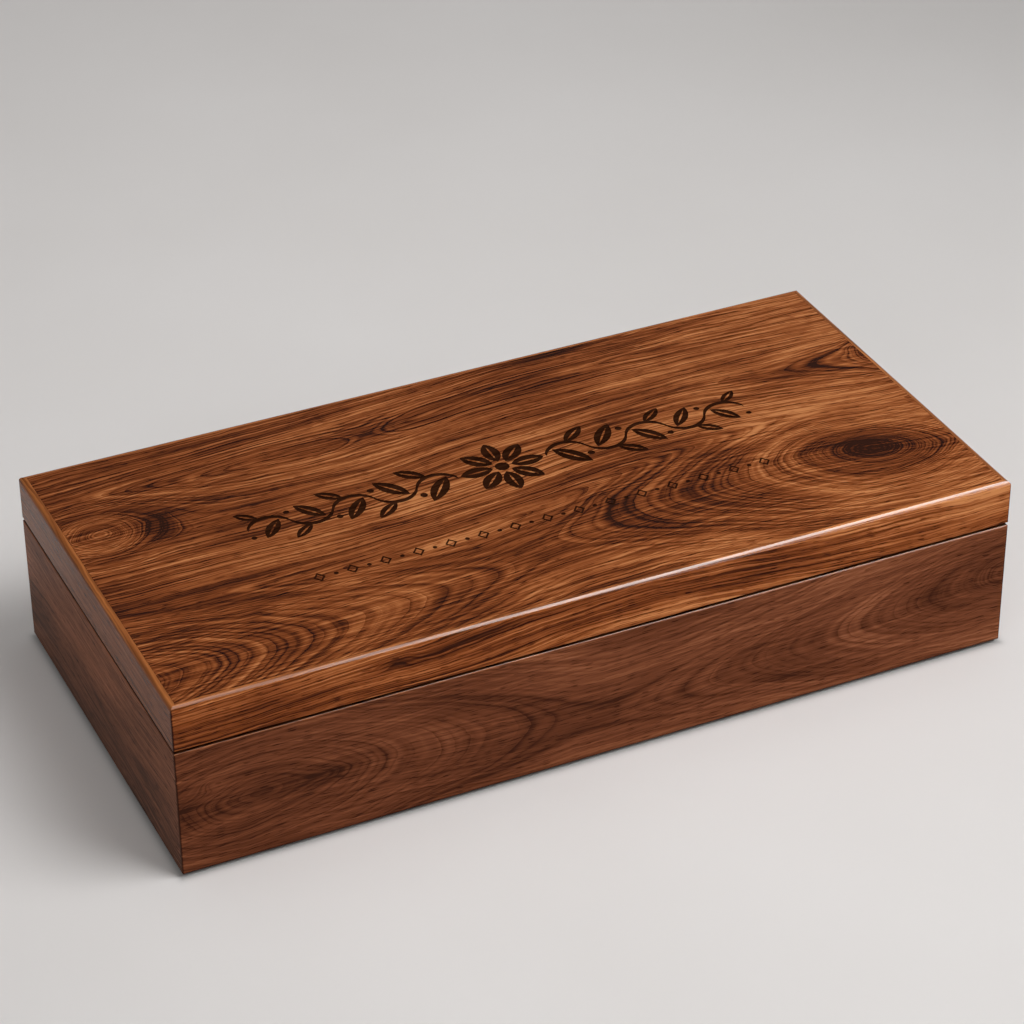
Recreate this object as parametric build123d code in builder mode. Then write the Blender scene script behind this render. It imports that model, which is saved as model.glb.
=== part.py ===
from build123d import *
from math import cos, radians, sqrt
import os

# Hinged wooden keepsake box, closed. Sizes are in millimetres, +Z is up and +X runs to the right
# along the box. The origin is the middle of the underside, on the surface the box stands on.

# Outside of the box
box_length = 320.0
box_depth = 158.0
box_height = 70.0
lid_height = 18.0
parting_gap = 0.85
top_round = 2.0
rim_round = 0.7
foot_round = 1.3
corner_round = 0.6

# Timber
wall_thickness = 9.0
lip_clearance = 0.6
bottom_thickness = 4.0
bottom_rebate = 5.0
top_border = 2.5
core_thickness = 4.4
veneer_thickness = 0.6
glue_gap = 0.05

# Loose tongues hidden in the mitred corners
tongue_thickness = 2.5
tongue_width = 8.0
tongue_setback = 6.0
base_tongue_margin = 8.0
lid_tongue_margin = 2.5

# Lining, pads and the cloth under the base
liner_thickness = 2.5
liner_lip = 4.0
liner_round = 1.0
liner_fit = 0.1
floor_pad_thickness = 3.5
lid_pad_thickness = 3.0
pad_round = 1.4
pad_clearance = 0.4
baize_thickness = 1.0
baize_inset = 3.0

# Stop hinges let into the back rims
hinge_length = 38.0
hinge_inset = 60.0
leaf_depth = 7.5
leaf_thickness = 2.2
knuckle_count = 5
knuckle_play = 0.15
mortise_fit = 0.05
swing_clearance = 0.35
stop_angle = 96.5
pin_radius = 0.8
pin_running_fit = 0.05
pin_fixed_fit = 0.02
pin_dome = 0.3

# Countersunk slotted hinge screws
screw_spacing = 24.0
screw_row = 5.1
screw_length = 9.0
screw_radius = 0.9
screw_head_radius = 1.75
screw_head_recess = 0.05
screw_tip = 1.6
screw_slot_width = 0.45
screw_slot_depth = 0.4
screw_fit = 0.1

# Closing magnets and bumpers at the front rim
magnet_inset = 50.0
magnet_setback = 4.3
magnet_radius = 2.5
magnet_thickness = 2.5
magnet_recess = 0.1
magnet_fit = 0.05
bumper_inset = 18.0
bumper_radius = 2.4
bumper_round = 0.15

# Engraved ornament on the lid
engraving_depth = 0.3
ornament_middle = (0.0, 9.5)
rosette_radius = 16.5
rosette_petals = 8
rosette_bud = 3.6
bud_gap = 0.9
petal_width = 6.6
vine_start = 17.5
vine_waves = 5
vine_wave_length = 16.2
vine_swing = 5.4
vine_thickness = 2.0
leaf_length = 17.0
leaf_width = 6.6
leaf_taper = 0.06
leaf_angle = 52.0
bud_angle = 39.0
midrib_share = 0.66
midrib_width = 0.8
berry_radius = 1.4
border_middle = (0.0, -28.5)
border_count = 29
border_pitch = 6.2
lozenge_length = 4.6
lozenge_height = 5.6
lozenge_opening = 0.6
dot_radius = 0.85

# Heights and widths that follow from the sizes above
parting_height = box_height - lid_height
base_bottom = baize_thickness
base_rim = parting_height - parting_gap / 2
lid_rim = parting_height + parting_gap / 2
panel_thickness = core_thickness + veneer_thickness
ceiling = box_height - panel_thickness
floor = base_bottom + bottom_thickness
lid_wall = wall_thickness - lip_clearance
knuckle_radius = leaf_thickness + parting_gap / 2
heel_reach = knuckle_radius * sqrt(2)
stop_notch = heel_reach * cos(radians(180 - 45 - stop_angle))
swing_radius = heel_reach + swing_clearance
hinge_axis = (0.0, box_depth / 2, parting_height)
hinge_centres = {"left": hinge_inset - box_length / 2, "right": box_length / 2 - hinge_inset}
magnet_y = magnet_setback - box_depth / 2
magnet_spacing = box_length - 2 * magnet_inset
bumper_spacing = box_length - 2 * bumper_inset

os.makedirs("parts", exist_ok=True)


def write(part, name):
    """Labels a finished piece and writes its STEP file."""
    part.label = name
    export_step(part, f"parts/{name}.step")


def rounded_block(low, high, low_round, high_round):
    """Solid block of the box's outline from low to high, with its long edges and corners rounded."""
    with BuildPart() as block:
        with BuildSketch(Plane.XY.offset(low)):
            RectangleRounded(box_length, box_depth, corner_round)
        extrude(amount=high - low)
        for plane, span in ((Plane.XZ, box_length), (Plane.YZ, box_depth)):
            with BuildSketch(plane) as profile:
                with Locations((0, (low + high) / 2)):
                    Rectangle(span, high - low)
                fillet(profile.vertices().group_by(Axis.Y)[0], low_round)
                fillet(profile.vertices().group_by(Axis.Y)[-1], high_round)
            extrude(amount=max(box_length, box_depth), both=True, mode=Mode.INTERSECT)
    return block.part


def cut_well(length, depth, low, high):
    """Takes a rectangular well out of the part being built."""
    with Locations((0, 0, (low + high) / 2)):
        Box(length, depth, high - low, mode=Mode.SUBTRACT)


def corner_places(height):
    """Places across the four mitres, each turned square to its mitre."""
    return [
        Location(
            (sx * (box_length / 2 - tongue_setback), sy * (box_depth / 2 - tongue_setback), height),
            (0, 0, -45 * sx * sy),
        )
        for sx in (-1, 1)
        for sy in (-1, 1)
    ]


def mitred_sides(ring, length, depth):
    """Cuts a rectangular ring at its mitres, and yields each side's name and part."""
    half_x, half_y = length / 2, depth / 2
    middle_cuts = {"front": (0, -1), "back": (0, 1), "left": (-1, 0), "right": (1, 0)}
    for side, (out_x, out_y) in middle_cuts.items():
        with BuildPart() as member:
            add(ring)
            split(bisect_by=Plane(origin=(0, 0, 0), z_dir=(out_x, out_y, 0)), keep=Keep.TOP)
            for along in (-1, 1):
                corner = (half_x * (out_x or along), half_y * (out_y or along), 0)
                inward = (out_x or -along, out_y or -along, 0)
                split(bisect_by=Plane(origin=corner, z_dir=inward), keep=Keep.TOP)
        yield side, member.part


def tongue_set(low, high):
    """Four loose tongues standing in the mitred corners between two heights."""
    with BuildPart() as tongues:
        with Locations(*corner_places((low + high) / 2)):
            Box(tongue_width - 2 * glue_gap, tongue_thickness - 2 * glue_gap, high - low - 2 * glue_gap)
    return tongues.part


def cut_tongue_slots(low, high):
    """Takes the slots for a set of loose tongues out of the part being built."""
    with Locations(*corner_places((low + high) / 2)):
        Box(tongue_width, tongue_thickness, high - low, mode=Mode.SUBTRACT)


def hinge_plane(centre_x):
    """Plane across a hinge pin at the hinge's left end, with Y and Z of the box as its axes."""
    start = (centre_x - hinge_length / 2, hinge_axis[1], hinge_axis[2])
    return Plane(origin=start, x_dir=(0, 1, 0), z_dir=(1, 0, 0))


def cut_hinge_mortises(side):
    """Lets both hinges into a rim: side is -1 for the base below the parting and 1 for the lid."""
    length = hinge_length + 2 * mortise_fit
    swing_length = hinge_length + 2 * (pin_dome + swing_clearance)
    depth = leaf_depth + mortise_fit
    height = knuckle_radius + mortise_fit
    leaf_floor = hinge_axis[2] + side * knuckle_radius
    for centre_x in hinge_centres.values():
        with Locations((centre_x, hinge_axis[1] - depth / 2, hinge_axis[2] + side * height / 2)):
            Box(length, depth, height, mode=Mode.SUBTRACT)
        with Locations((centre_x, hinge_axis[1], hinge_axis[2])):
            Cylinder(swing_radius, swing_length, rotation=(0, 90, 0), mode=Mode.SUBTRACT)
        face = Plane(origin=(centre_x, hinge_axis[1] - screw_row, leaf_floor), z_dir=(0, 0, -side))
        with Locations(face):
            with GridLocations(screw_spacing, 0, 2, 1):
                Hole(radius=screw_radius + screw_fit, depth=screw_length - leaf_thickness + 2 * screw_fit)


def cut_magnet_holes(side):
    """Drills the two magnet pockets in a front rim: side is -1 for the base and 1 for the lid."""
    face_height = parting_height + side * parting_gap / 2
    face = Plane(origin=(0, magnet_y, face_height), z_dir=(0, 0, -side))
    with Locations(face):
        with GridLocations(magnet_spacing, 0, 2, 1):
            Hole(radius=magnet_radius + magnet_fit, depth=magnet_thickness + magnet_recess)


# The base: four mitred walls with long grain, rebated below for the bottom panel.
inner_length = box_length - 2 * wall_thickness
inner_depth = box_depth - 2 * wall_thickness
bottom_length = inner_length + 2 * bottom_rebate
bottom_depth = inner_depth + 2 * bottom_rebate
base_tongue_low = floor + base_tongue_margin
base_tongue_high = base_rim - base_tongue_margin
with BuildPart() as base_ring:
    add(rounded_block(base_bottom, base_rim, foot_round, rim_round))
    cut_well(inner_length, inner_depth, base_bottom, base_rim)
    cut_well(bottom_length, bottom_depth, base_bottom, floor)
    cut_tongue_slots(base_tongue_low, base_tongue_high)
    cut_hinge_mortises(-1)
    cut_magnet_holes(-1)

for side, wall in mitred_sides(base_ring.part, box_length, box_depth):
    write(wall, f"base_{side}_wall")
write(tongue_set(base_tongue_low, base_tongue_high), "base_corner_tongues")

with BuildPart() as bottom_panel:
    with BuildSketch(Plane.XY.offset(base_bottom)):
        Rectangle(bottom_length - 2 * glue_gap, bottom_depth - 2 * glue_gap)
    extrude(amount=bottom_thickness)
write(bottom_panel.part, "base_bottom_panel")

# Baize glued under the base, a little inside its edges. The box stands on it.
with BuildPart() as baize:
    with BuildSketch():
        Rectangle(box_length - 2 * baize_inset, box_depth - 2 * baize_inset)
    extrude(amount=baize_thickness)
write(baize.part, "underside_baize")

# Lining boards wrapped in suede cloth. They stand on the bottom panel and rise past the rim to
# locate the lid, so their upper edges are rounded on both sides.
liner_length = inner_length - 2 * liner_fit
liner_depth = inner_depth - 2 * liner_fit
well_length = liner_length - 2 * liner_thickness
well_depth = liner_depth - 2 * liner_thickness
liner_top = base_rim + liner_lip
with BuildPart() as liner_ring:
    with BuildSketch(Plane.XY.offset(floor)):
        Rectangle(liner_length, liner_depth)
        Rectangle(well_length, well_depth, mode=Mode.SUBTRACT)
    extrude(amount=liner_top - floor)
    fillet(liner_ring.faces().sort_by(Axis.Z)[-1].edges(), liner_round)

for side, liner in mitred_sides(liner_ring.part, liner_length, liner_depth):
    write(liner, f"base_liner_{side}")

# Foam pads covered in suede cloth: one on the floor, one under the lid.
with BuildPart() as floor_pad:
    with BuildSketch(Plane.XY.offset(floor)):
        Rectangle(well_length - 2 * pad_clearance, well_depth - 2 * pad_clearance)
    extrude(amount=floor_pad_thickness)
    fillet(floor_pad.faces().sort_by(Axis.Z)[-1].edges(), pad_round)
write(floor_pad.part, "base_floor_pad")

lid_well_length = box_length - 2 * lid_wall
lid_well_depth = box_depth - 2 * lid_wall
with BuildPart() as lid_pad:
    with BuildSketch(Plane.XY.offset(ceiling)):
        Rectangle(lid_well_length - 2 * pad_clearance, lid_well_depth - 2 * pad_clearance)
    extrude(amount=-lid_pad_thickness)
    fillet(lid_pad.faces().sort_by(Axis.Z)[0].edges(), pad_round)
write(lid_pad.part, "lid_pad")

# The lid: four mitred rails, rebated above for the top panel. A narrow border of each rail
# shows round the panel and carries the rounded edge.
top_length = box_length - 2 * top_border
top_depth = box_depth - 2 * top_border
lid_tongue_low = lid_rim + lid_tongue_margin
lid_tongue_high = ceiling - lid_tongue_margin
with BuildPart() as lid_ring:
    add(rounded_block(lid_rim, box_height, rim_round, top_round))
    cut_well(lid_well_length, lid_well_depth, lid_rim, box_height)
    cut_well(top_length, top_depth, ceiling, box_height)
    cut_tongue_slots(lid_tongue_low, lid_tongue_high)
    cut_hinge_mortises(1)
    cut_magnet_holes(1)

for side, rail in mitred_sides(lid_ring.part, box_length, box_depth):
    write(rail, f"lid_{side}_rail")
write(tongue_set(lid_tongue_low, lid_tongue_high), "lid_corner_tongues")

with BuildPart() as core_panel:
    with BuildSketch(Plane.XY.offset(ceiling)):
        Rectangle(top_length - 2 * glue_gap, top_depth - 2 * glue_gap)
    extrude(amount=core_thickness)
write(core_panel.part, "lid_core_panel")


def leaf_outline(length, width):
    """Pointed leaf from the origin along +X, its two edges single arcs."""
    with BuildSketch() as leaf:
        with BuildLine():
            ThreePointArc((0, 0), (length / 2, width / 2), (length, 0))
            ThreePointArc((length, 0), (length / 2, -width / 2), (0, 0))
        make_face()
    return leaf.sketch


def veined_leaf(length, width):
    """Pointed leaf with its midrib left standing."""
    with BuildSketch() as leaf:
        add(leaf_outline(length, width))
        with Locations((length * (1 - midrib_share) / 2, 0)):
            add(leaf_outline(length * midrib_share, midrib_width), mode=Mode.SUBTRACT)
    return leaf.sketch


def vine_stem(bow):
    """One wave of the stem, from the origin along +X, bowed to one side."""
    half = vine_thickness / 2
    with BuildSketch() as stem:
        with BuildLine():
            ThreePointArc((0, half), (vine_wave_length / 2, bow + half), (vine_wave_length, half))
            Line((vine_wave_length, half), (vine_wave_length, -half))
            ThreePointArc((vine_wave_length, -half), (vine_wave_length / 2, bow - half), (0, -half))
            Line((0, -half), (0, half))
        make_face()
    return stem.sketch


def rosette():
    """Ring of petals round a dot, its middle at the origin."""
    petal = veined_leaf(rosette_radius - rosette_bud, petal_width)
    with BuildSketch() as flower:
        with PolarLocations(rosette_bud, rosette_petals):
            add(petal)
        Circle(rosette_bud - bud_gap)
    return flower.sketch


def running_vines():
    """Waving stem with leaves and a berry at every wave, to both sides of the rosette."""
    with BuildSketch() as vine:
        for wave in range(vine_waves):
            start = vine_start + wave * vine_wave_length
            turn = 1 if wave % 2 == 0 else -1
            bow = turn * vine_swing
            length = leaf_length * (1 - leaf_taper * wave)
            width = leaf_width * (1 - leaf_taper * wave)
            outer = Location((start + vine_wave_length * 0.22, bow * 0.5, 0), (0, 0, -turn * leaf_angle))
            bud = Location((start + vine_wave_length * 0.62, bow * 0.95, 0), (0, 0, turn * bud_angle))
            with Locations((start, 0)):
                add(vine_stem(bow))
            with Locations(outer):
                add(veined_leaf(length, width))
            with Locations(bud):
                add(veined_leaf(length * 0.75, width * 0.8))
            with Locations((start + vine_wave_length * 0.97, -bow)):
                Circle(berry_radius * (1 - leaf_taper * wave))
        mirror(about=Plane.YZ)
    return vine.sketch


def border_row():
    """Row of outlined lozenges with a dot between each pair."""
    half_x, half_y = lozenge_length / 2, lozenge_height / 2
    diamond = [(-half_x, 0), (0, -half_y), (half_x, 0), (0, half_y)]
    opening = [(x * lozenge_opening, y * lozenge_opening) for x, y in diamond]
    with BuildSketch() as row:
        for place in range(border_count):
            with Locations(((place - (border_count - 1) / 2) * border_pitch, 0)):
                if place % 2:
                    Circle(dot_radius)
                else:
                    Polygon(*diamond)
                    Polygon(*opening, mode=Mode.SUBTRACT)
    return row.sketch


# Face veneer over the panel, with the ornament engraved half way through it.
with BuildPart() as face_veneer:
    with BuildSketch(Plane.XY.offset(box_height - veneer_thickness)):
        Rectangle(top_length - 2 * glue_gap, top_depth - 2 * glue_gap)
    extrude(amount=veneer_thickness)
    with BuildSketch(Plane.XY.offset(box_height)):
        with Locations(ornament_middle):
            add(rosette())
            add(running_vines())
        with Locations(border_middle):
            add(border_row())
    extrude(amount=-engraving_depth, mode=Mode.SUBTRACT)
write(face_veneer.part, "lid_face_veneer")


def hinge_leaf(centre_x, side):
    """Leaf of a stop hinge: side is -1 for the lower leaf and 1 for the upper one.

    The knuckles alternate. Each has a square heel behind the pin, which swings round with its
    leaf and meets the other leaf's notch at the stop angle.
    """
    start = hinge_plane(centre_x)
    pitch = (hinge_length + knuckle_play) / knuckle_count
    own_first = 0 if side < 0 else 1
    flat = side * parting_gap / 2
    plate_middle = (flat + side * knuckle_radius) / 2
    bore = pin_radius + (pin_running_fit if side > 0 else pin_fixed_fit)
    with BuildPart() as leaf:
        with BuildSketch(start):
            with Locations((-(leaf_depth + stop_notch) / 2, plate_middle)):
                Rectangle(leaf_depth - stop_notch, leaf_thickness)
        extrude(amount=hinge_length)
        for knuckle in range(own_first, knuckle_count, 2):
            with BuildSketch(start.offset(knuckle * pitch)):
                Circle(knuckle_radius)
                with Locations((-stop_notch / 2, plate_middle)):
                    Rectangle(stop_notch, leaf_thickness)
                with Locations((knuckle_radius / 2, -side * knuckle_radius / 2)):
                    Rectangle(knuckle_radius, knuckle_radius)
            extrude(amount=pitch - knuckle_play)
        with BuildSketch(start):
            Circle(bore)
        extrude(amount=hinge_length, mode=Mode.SUBTRACT)
        face = Plane(origin=(centre_x, hinge_axis[1] - screw_row, hinge_axis[2] + flat), z_dir=(0, 0, -side))
        with Locations(face):
            with GridLocations(screw_spacing, 0, 2, 1):
                CounterSinkHole(screw_radius + screw_fit, screw_head_radius + screw_fit)
    return leaf.part


def hinge_screws(centre_x, side):
    """Two countersunk slotted wood screws of one leaf, their heads just under its face."""
    head_height = screw_head_radius - screw_radius
    head = hinge_axis[2] + side * (parting_gap / 2 + screw_head_recess)
    face = Plane(origin=(centre_x, hinge_axis[1] - screw_row, head), z_dir=(0, 0, -side))
    with BuildPart() as screw:
        with BuildSketch(Plane.XZ):
            with BuildLine():
                Polyline(
                    (0, 0),
                    (screw_head_radius, 0),
                    (screw_radius, -head_height),
                    (screw_radius, screw_tip - screw_length),
                    (0, -screw_length),
                    close=True,
                )
            make_face()
        revolve(axis=Axis.Z)
        with Locations((0, 0, -screw_slot_depth / 2)):
            Box(2 * screw_head_radius, screw_slot_width, screw_slot_depth, mode=Mode.SUBTRACT)
    with BuildPart() as pair:
        with Locations(face):
            with GridLocations(screw_spacing, 0, 2, 1):
                add(screw.part)
    return pair.part


def hinge_pin(centre_x):
    """Pin through all the knuckles, its domed ends just proud of them."""
    with BuildPart() as pin:
        with BuildSketch(hinge_plane(centre_x).offset(-pin_dome)):
            Circle(pin_radius)
        extrude(amount=hinge_length + 2 * pin_dome)
        fillet(pin.edges().filter_by(GeomType.CIRCLE), pin_dome)
    return pin.part


for hand, centre_x in hinge_centres.items():
    write(hinge_pin(centre_x), f"hinge_{hand}_pin")
    for place, side in (("lower", -1), ("upper", 1)):
        write(hinge_leaf(centre_x, side), f"hinge_{hand}_{place}_leaf")
        write(hinge_screws(centre_x, side), f"hinge_{hand}_{place}_screws")

# Disc magnets that hold the lid shut, sunk just under each front rim.
for owner, side in (("base", -1), ("lid", 1)):
    sunk = parting_height + side * (parting_gap / 2 + magnet_recess)
    with BuildPart() as magnets:
        with BuildSketch(Plane.XY.offset(sunk)):
            with Locations((0, magnet_y)):
                with GridLocations(magnet_spacing, 0, 2, 1):
                    Circle(magnet_radius)
        extrude(amount=side * magnet_thickness)
    write(magnets.part, f"{owner}_magnets")

# Clear bumpers on the base's front rim that keep the parting gap.
with BuildPart() as bumpers:
    with BuildSketch(Plane.XY.offset(base_rim)):
        with Locations((0, magnet_y)):
            with GridLocations(bumper_spacing, 0, 2, 1):
                Circle(bumper_radius)
    extrude(amount=parting_gap)
    fillet(bumpers.edges().filter_by(GeomType.CIRCLE).group_by(Axis.Z)[-1], bumper_round)
write(bumpers.part, "rim_bumpers")
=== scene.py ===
import math

import bpy
import numpy as np
from mathutils import Matrix, Vector


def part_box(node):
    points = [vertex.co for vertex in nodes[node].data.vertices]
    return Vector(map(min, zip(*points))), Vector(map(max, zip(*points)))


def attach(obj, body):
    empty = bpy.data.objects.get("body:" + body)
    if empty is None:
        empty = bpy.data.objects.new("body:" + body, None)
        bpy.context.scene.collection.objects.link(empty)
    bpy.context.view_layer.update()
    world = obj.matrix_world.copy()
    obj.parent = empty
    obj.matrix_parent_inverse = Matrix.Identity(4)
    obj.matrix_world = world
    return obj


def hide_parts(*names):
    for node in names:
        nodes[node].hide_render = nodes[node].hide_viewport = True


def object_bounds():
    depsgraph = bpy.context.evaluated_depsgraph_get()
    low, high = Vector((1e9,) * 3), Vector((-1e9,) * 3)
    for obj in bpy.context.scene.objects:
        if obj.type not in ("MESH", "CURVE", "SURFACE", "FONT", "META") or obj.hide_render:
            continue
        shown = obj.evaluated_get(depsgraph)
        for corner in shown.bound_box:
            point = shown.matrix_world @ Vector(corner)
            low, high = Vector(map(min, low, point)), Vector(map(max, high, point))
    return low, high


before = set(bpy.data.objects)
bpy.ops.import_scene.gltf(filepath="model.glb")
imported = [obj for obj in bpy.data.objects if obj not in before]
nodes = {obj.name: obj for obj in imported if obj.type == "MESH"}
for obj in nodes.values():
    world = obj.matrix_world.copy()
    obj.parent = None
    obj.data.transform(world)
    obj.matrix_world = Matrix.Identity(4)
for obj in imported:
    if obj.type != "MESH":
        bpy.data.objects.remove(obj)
cad_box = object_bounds()

# BASE WALLS
# Four boards of figured walnut, mitred and glued round the bottom panel, with the grain running
# round the box. They are stained, filled and sprayed with clear gloss lacquer, then polished.


def set_inputs(tree, node, inputs):
    """Gives a node's sockets their values, or links them to the outputs that feed them."""
    for socket, value in inputs.items():
        if isinstance(value, bpy.types.NodeSocket):
            tree.links.new(value, node.inputs[socket])
        else:
            node.inputs[socket].default_value = value


def add_node(tree, kind, inputs=None, **settings):
    """Adds a shader node; inputs maps its sockets to values or to the outputs that feed them."""
    made = tree.nodes.new("ShaderNode" + kind)
    for name, value in settings.items():
        setattr(made, name, value)
    set_inputs(tree, made, inputs or {})
    return made


def calc(tree, operation, *values):
    """Output of one Math node."""
    return add_node(tree, "Math", dict(enumerate(values)), operation=operation).outputs[0]


def calc_vector(tree, operation, *values):
    """Vector output of one Vector Math node."""
    return add_node(tree, "VectorMath", dict(enumerate(values)), operation=operation).outputs[0]


def stretched(tree, point, parts):
    """The point with its three parts multiplied, one by one."""
    return calc_vector(tree, "MULTIPLY", point, parts)


def measure(tree, operation, *vectors):
    """Number output of one Vector Math node, such as a length or a dot product."""
    made = add_node(tree, "VectorMath", dict(enumerate(vectors)), operation=operation)
    return made.outputs["Value"]


def per(tree, value, length):
    """The value counted in lengths."""
    return calc(tree, "MULTIPLY", value, 1 / length)


def dying_off(tree, value, reach=1.0):
    """e^(-value / reach)."""
    return calc(tree, "EXPONENT", calc(tree, "MULTIPLY", value, -1 / reach))


def fade_between(tree, value, start, end, at_start, at_end, **settings):
    """Goes from at_start to at_end as the value goes from start to end, and stays level outside."""
    inputs = {0: value, 1: start, 2: end, 3: at_start, 4: at_end}
    return add_node(tree, "MapRange", inputs, **settings).outputs[0]


def mix_colours(tree, factor, first, second, blend_type="MIX"):
    """Mixes two colours by a factor."""
    inputs = {0: factor, 6: first, 7: second}
    return add_node(tree, "Mix", inputs, data_type="RGBA", blend_type=blend_type).outputs[2]


def grade(tree, factor, stops):
    """Colour ramp of (position, colour) stops."""
    made = add_node(tree, "ValToRGB", {0: factor})
    elements = made.color_ramp.elements
    while len(elements) < len(stops):
        elements.new(0.5)
    for element, (position, colour) in zip(elements, stops):
        element.position = position
        element.color = (*colour, 1.0)
    return made.outputs[0]


def noise(tree, vector, detail=2.0, roughness=0.5, distortion=0.0, output=0):
    """Noise at scale 1, so the vector carries the size of the pattern; output 1 is a vector."""
    inputs = {
        "Vector": vector,
        "Scale": 1.0,
        "Detail": detail,
        "Roughness": roughness,
        "Distortion": distortion,
    }
    return add_node(tree, "TexNoise", inputs, noise_dimensions="3D").outputs[output]


def relief(tree, height, strength, depth):
    """Fine relief from a height pattern, for a shader's normal; depth is in metres."""
    inputs = {"Strength": strength, "Distance": depth, "Height": height}
    return add_node(tree, "Bump", inputs).outputs[0]


def new_material(name):
    """Material with a bare Principled shader; gives the material, its tree and the shader."""
    material = bpy.data.materials.new(name)
    material.use_nodes = True
    tree = material.node_tree
    return material, tree, tree.nodes["Principled BSDF"]


def object_millimetres(tree):
    """The point in the object's own frame, in millimetres."""
    point = add_node(tree, "TexCoord").outputs["Object"]
    return stretched(tree, point, (1000.0, 1000.0, 1000.0))


def join(tree, x, y, z=0.0):
    """Vector of three numbers or outputs."""
    return add_node(tree, "CombineXYZ", {0: x, 1: y, 2: z}).outputs[0]


def grain_frame(tree, grain, face, turn_over):
    """Point as (along the grain, across it), in millimetres.

    The three letters of grain name the axes along the grain, across it and into the board, and
    face is the place of the board's face on the third. turn_over carries the figure round the
    board's edge: that share of the depth under the face is added to the way across.
    """
    split = add_node(tree, "SeparateXYZ", {0: object_millimetres(tree)})
    along, across, depth = (split.outputs["xyz".index(axis)] for axis in grain)
    depth = calc(tree, "SUBTRACT", depth, face)
    return along, calc(tree, "MULTIPLY_ADD", depth, turn_over, across)


def ring_height(tree, along, across, seed, eyes, knots, arch):
    """Distance from the pith, in millimetres: growth rings are where it passes whole steps.

    Noise and one arch, (middle, reach, rise), bend the point first. An eye, (s, t, m, limit,
    tilt, blunt), is a place where the cut comes near the pith. The height there is
    (|dt|^1.8 + q^1.8 + blunt^1.8)^(1/1.8), with ds and dt the distances from (s, t) along and
    across the grain, and q = limit (1 - e^(-m |ds| / limit)). So long rings close round the eye
    and run straight far from it, and its blunt middle has few. A soft minimum joins the eyes.
    A knot, (s, t, a, b, h, heart), lowers the height by h e^-((ds/a)^2 + (dt/b)^2), which packs
    more rings round it. Gives the height, the bent way across, and how dark the hearts are.
    """
    eye_power, softness = 1.8, 3.0
    ruffle_along, ruffle_across, sway = 9.0, 3.6, 11.0
    place = join(tree, along, across, seed)
    ruffle = stretched(tree, place, (1 / 32, 1 / 16, 1.0))
    ruffle = noise(tree, ruffle, detail=4.0, roughness=0.52, output=1)
    ruffle = calc_vector(tree, "SUBTRACT", ruffle, (0.5, 0.5, 0.5))
    slow = noise(tree, stretched(tree, place, (1 / 110, 1 / 48, 3.0)), detail=1.0)
    middle, reach, rise = arch
    bow = per(tree, calc(tree, "SUBTRACT", along, middle), reach)
    bow = dying_off(tree, calc(tree, "MULTIPLY", bow, bow))
    bend = add_node(tree, "SeparateXYZ", {0: ruffle}).outputs
    run = calc(tree, "MULTIPLY_ADD", bend[0], ruffle_along, along)
    level = calc(tree, "MULTIPLY_ADD", bend[1], ruffle_across, across)
    level = calc(tree, "MULTIPLY_ADD", calc(tree, "SUBTRACT", slow, 0.5), sway, level)
    level = calc(tree, "MULTIPLY_ADD", bow, -rise, level)
    total = 0.0
    for s, t, m, limit, tilt, blunt in eyes:
        ds = calc(tree, "SUBTRACT", run, s)
        dt = calc(tree, "MULTIPLY_ADD", ds, -tilt, calc(tree, "SUBTRACT", level, t))
        q = dying_off(tree, calc(tree, "ABSOLUTE", ds), limit / m)
        q = calc(tree, "MULTIPLY_ADD", q, -limit, limit)
        dt_part = calc(tree, "POWER", calc(tree, "ABSOLUTE", dt), eye_power)
        far = calc(tree, "ADD", dt_part, calc(tree, "POWER", q, eye_power))
        far = calc(tree, "ADD", far, blunt**eye_power)
        far = calc(tree, "POWER", far, 1 / eye_power)
        total = calc(tree, "ADD", dying_off(tree, far, softness), total)
    height = calc(tree, "MULTIPLY", calc(tree, "LOGARITHM", total, math.e), -softness)
    bent_place = join(tree, run, level)
    hearts = 0.0
    for s, t, a, b, h, heart in knots:
        offset = calc_vector(tree, "SUBTRACT", bent_place, (s, t, 0.0))
        offset = stretched(tree, offset, (1 / a, 1 / b, 0.0))
        hill = dying_off(tree, measure(tree, "DOT_PRODUCT", offset, offset))
        height = calc(tree, "MULTIPLY_ADD", hill, -h, height)
        hearts = calc(tree, "MULTIPLY_ADD", hill, heart, hearts)
    return height, level, hearts


def grain_lines(tree, along, height, spacing, width, seed):
    """Dark lines, one to each step of the height, each with its own strength along its run.

    With f the part of the step that is passed, and n the distance from the nearer whole step, a
    line is e^-((n / width)^2) + 0.5 e^-(f / 0.3): a sharp crest with a tail on one side.
    """
    drift, tail_share, tail_reach = 1.2, 0.5, 0.3
    wander = join(tree, per(tree, along, 150.0), per(tree, height, 2.4 * spacing), seed)
    wander = calc(tree, "MULTIPLY", noise(tree, wander, detail=1.0), drift)
    count = calc(tree, "MULTIPLY_ADD", height, 1 / spacing, wander)
    step = calc(tree, "MULTIPLY", calc(tree, "FLOOR", count), 3.7)
    strength = join(tree, per(tree, along, 45.0 * spacing), step, seed + 5.0)
    strength = noise(tree, strength, detail=0.0)
    strength = fade_between(tree, strength, start=0.36, end=0.68, at_start=0.0, at_end=1.0)
    part = calc(tree, "FRACT", count)
    near = calc(tree, "MINIMUM", part, calc(tree, "SUBTRACT", 1.0, part))
    crest = dying_off(tree, calc(tree, "MULTIPLY", near, near), width**2)
    line = calc(tree, "MULTIPLY_ADD", dying_off(tree, part, tail_reach), tail_share, crest)
    return calc(tree, "MULTIPLY", strength, line)


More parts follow.
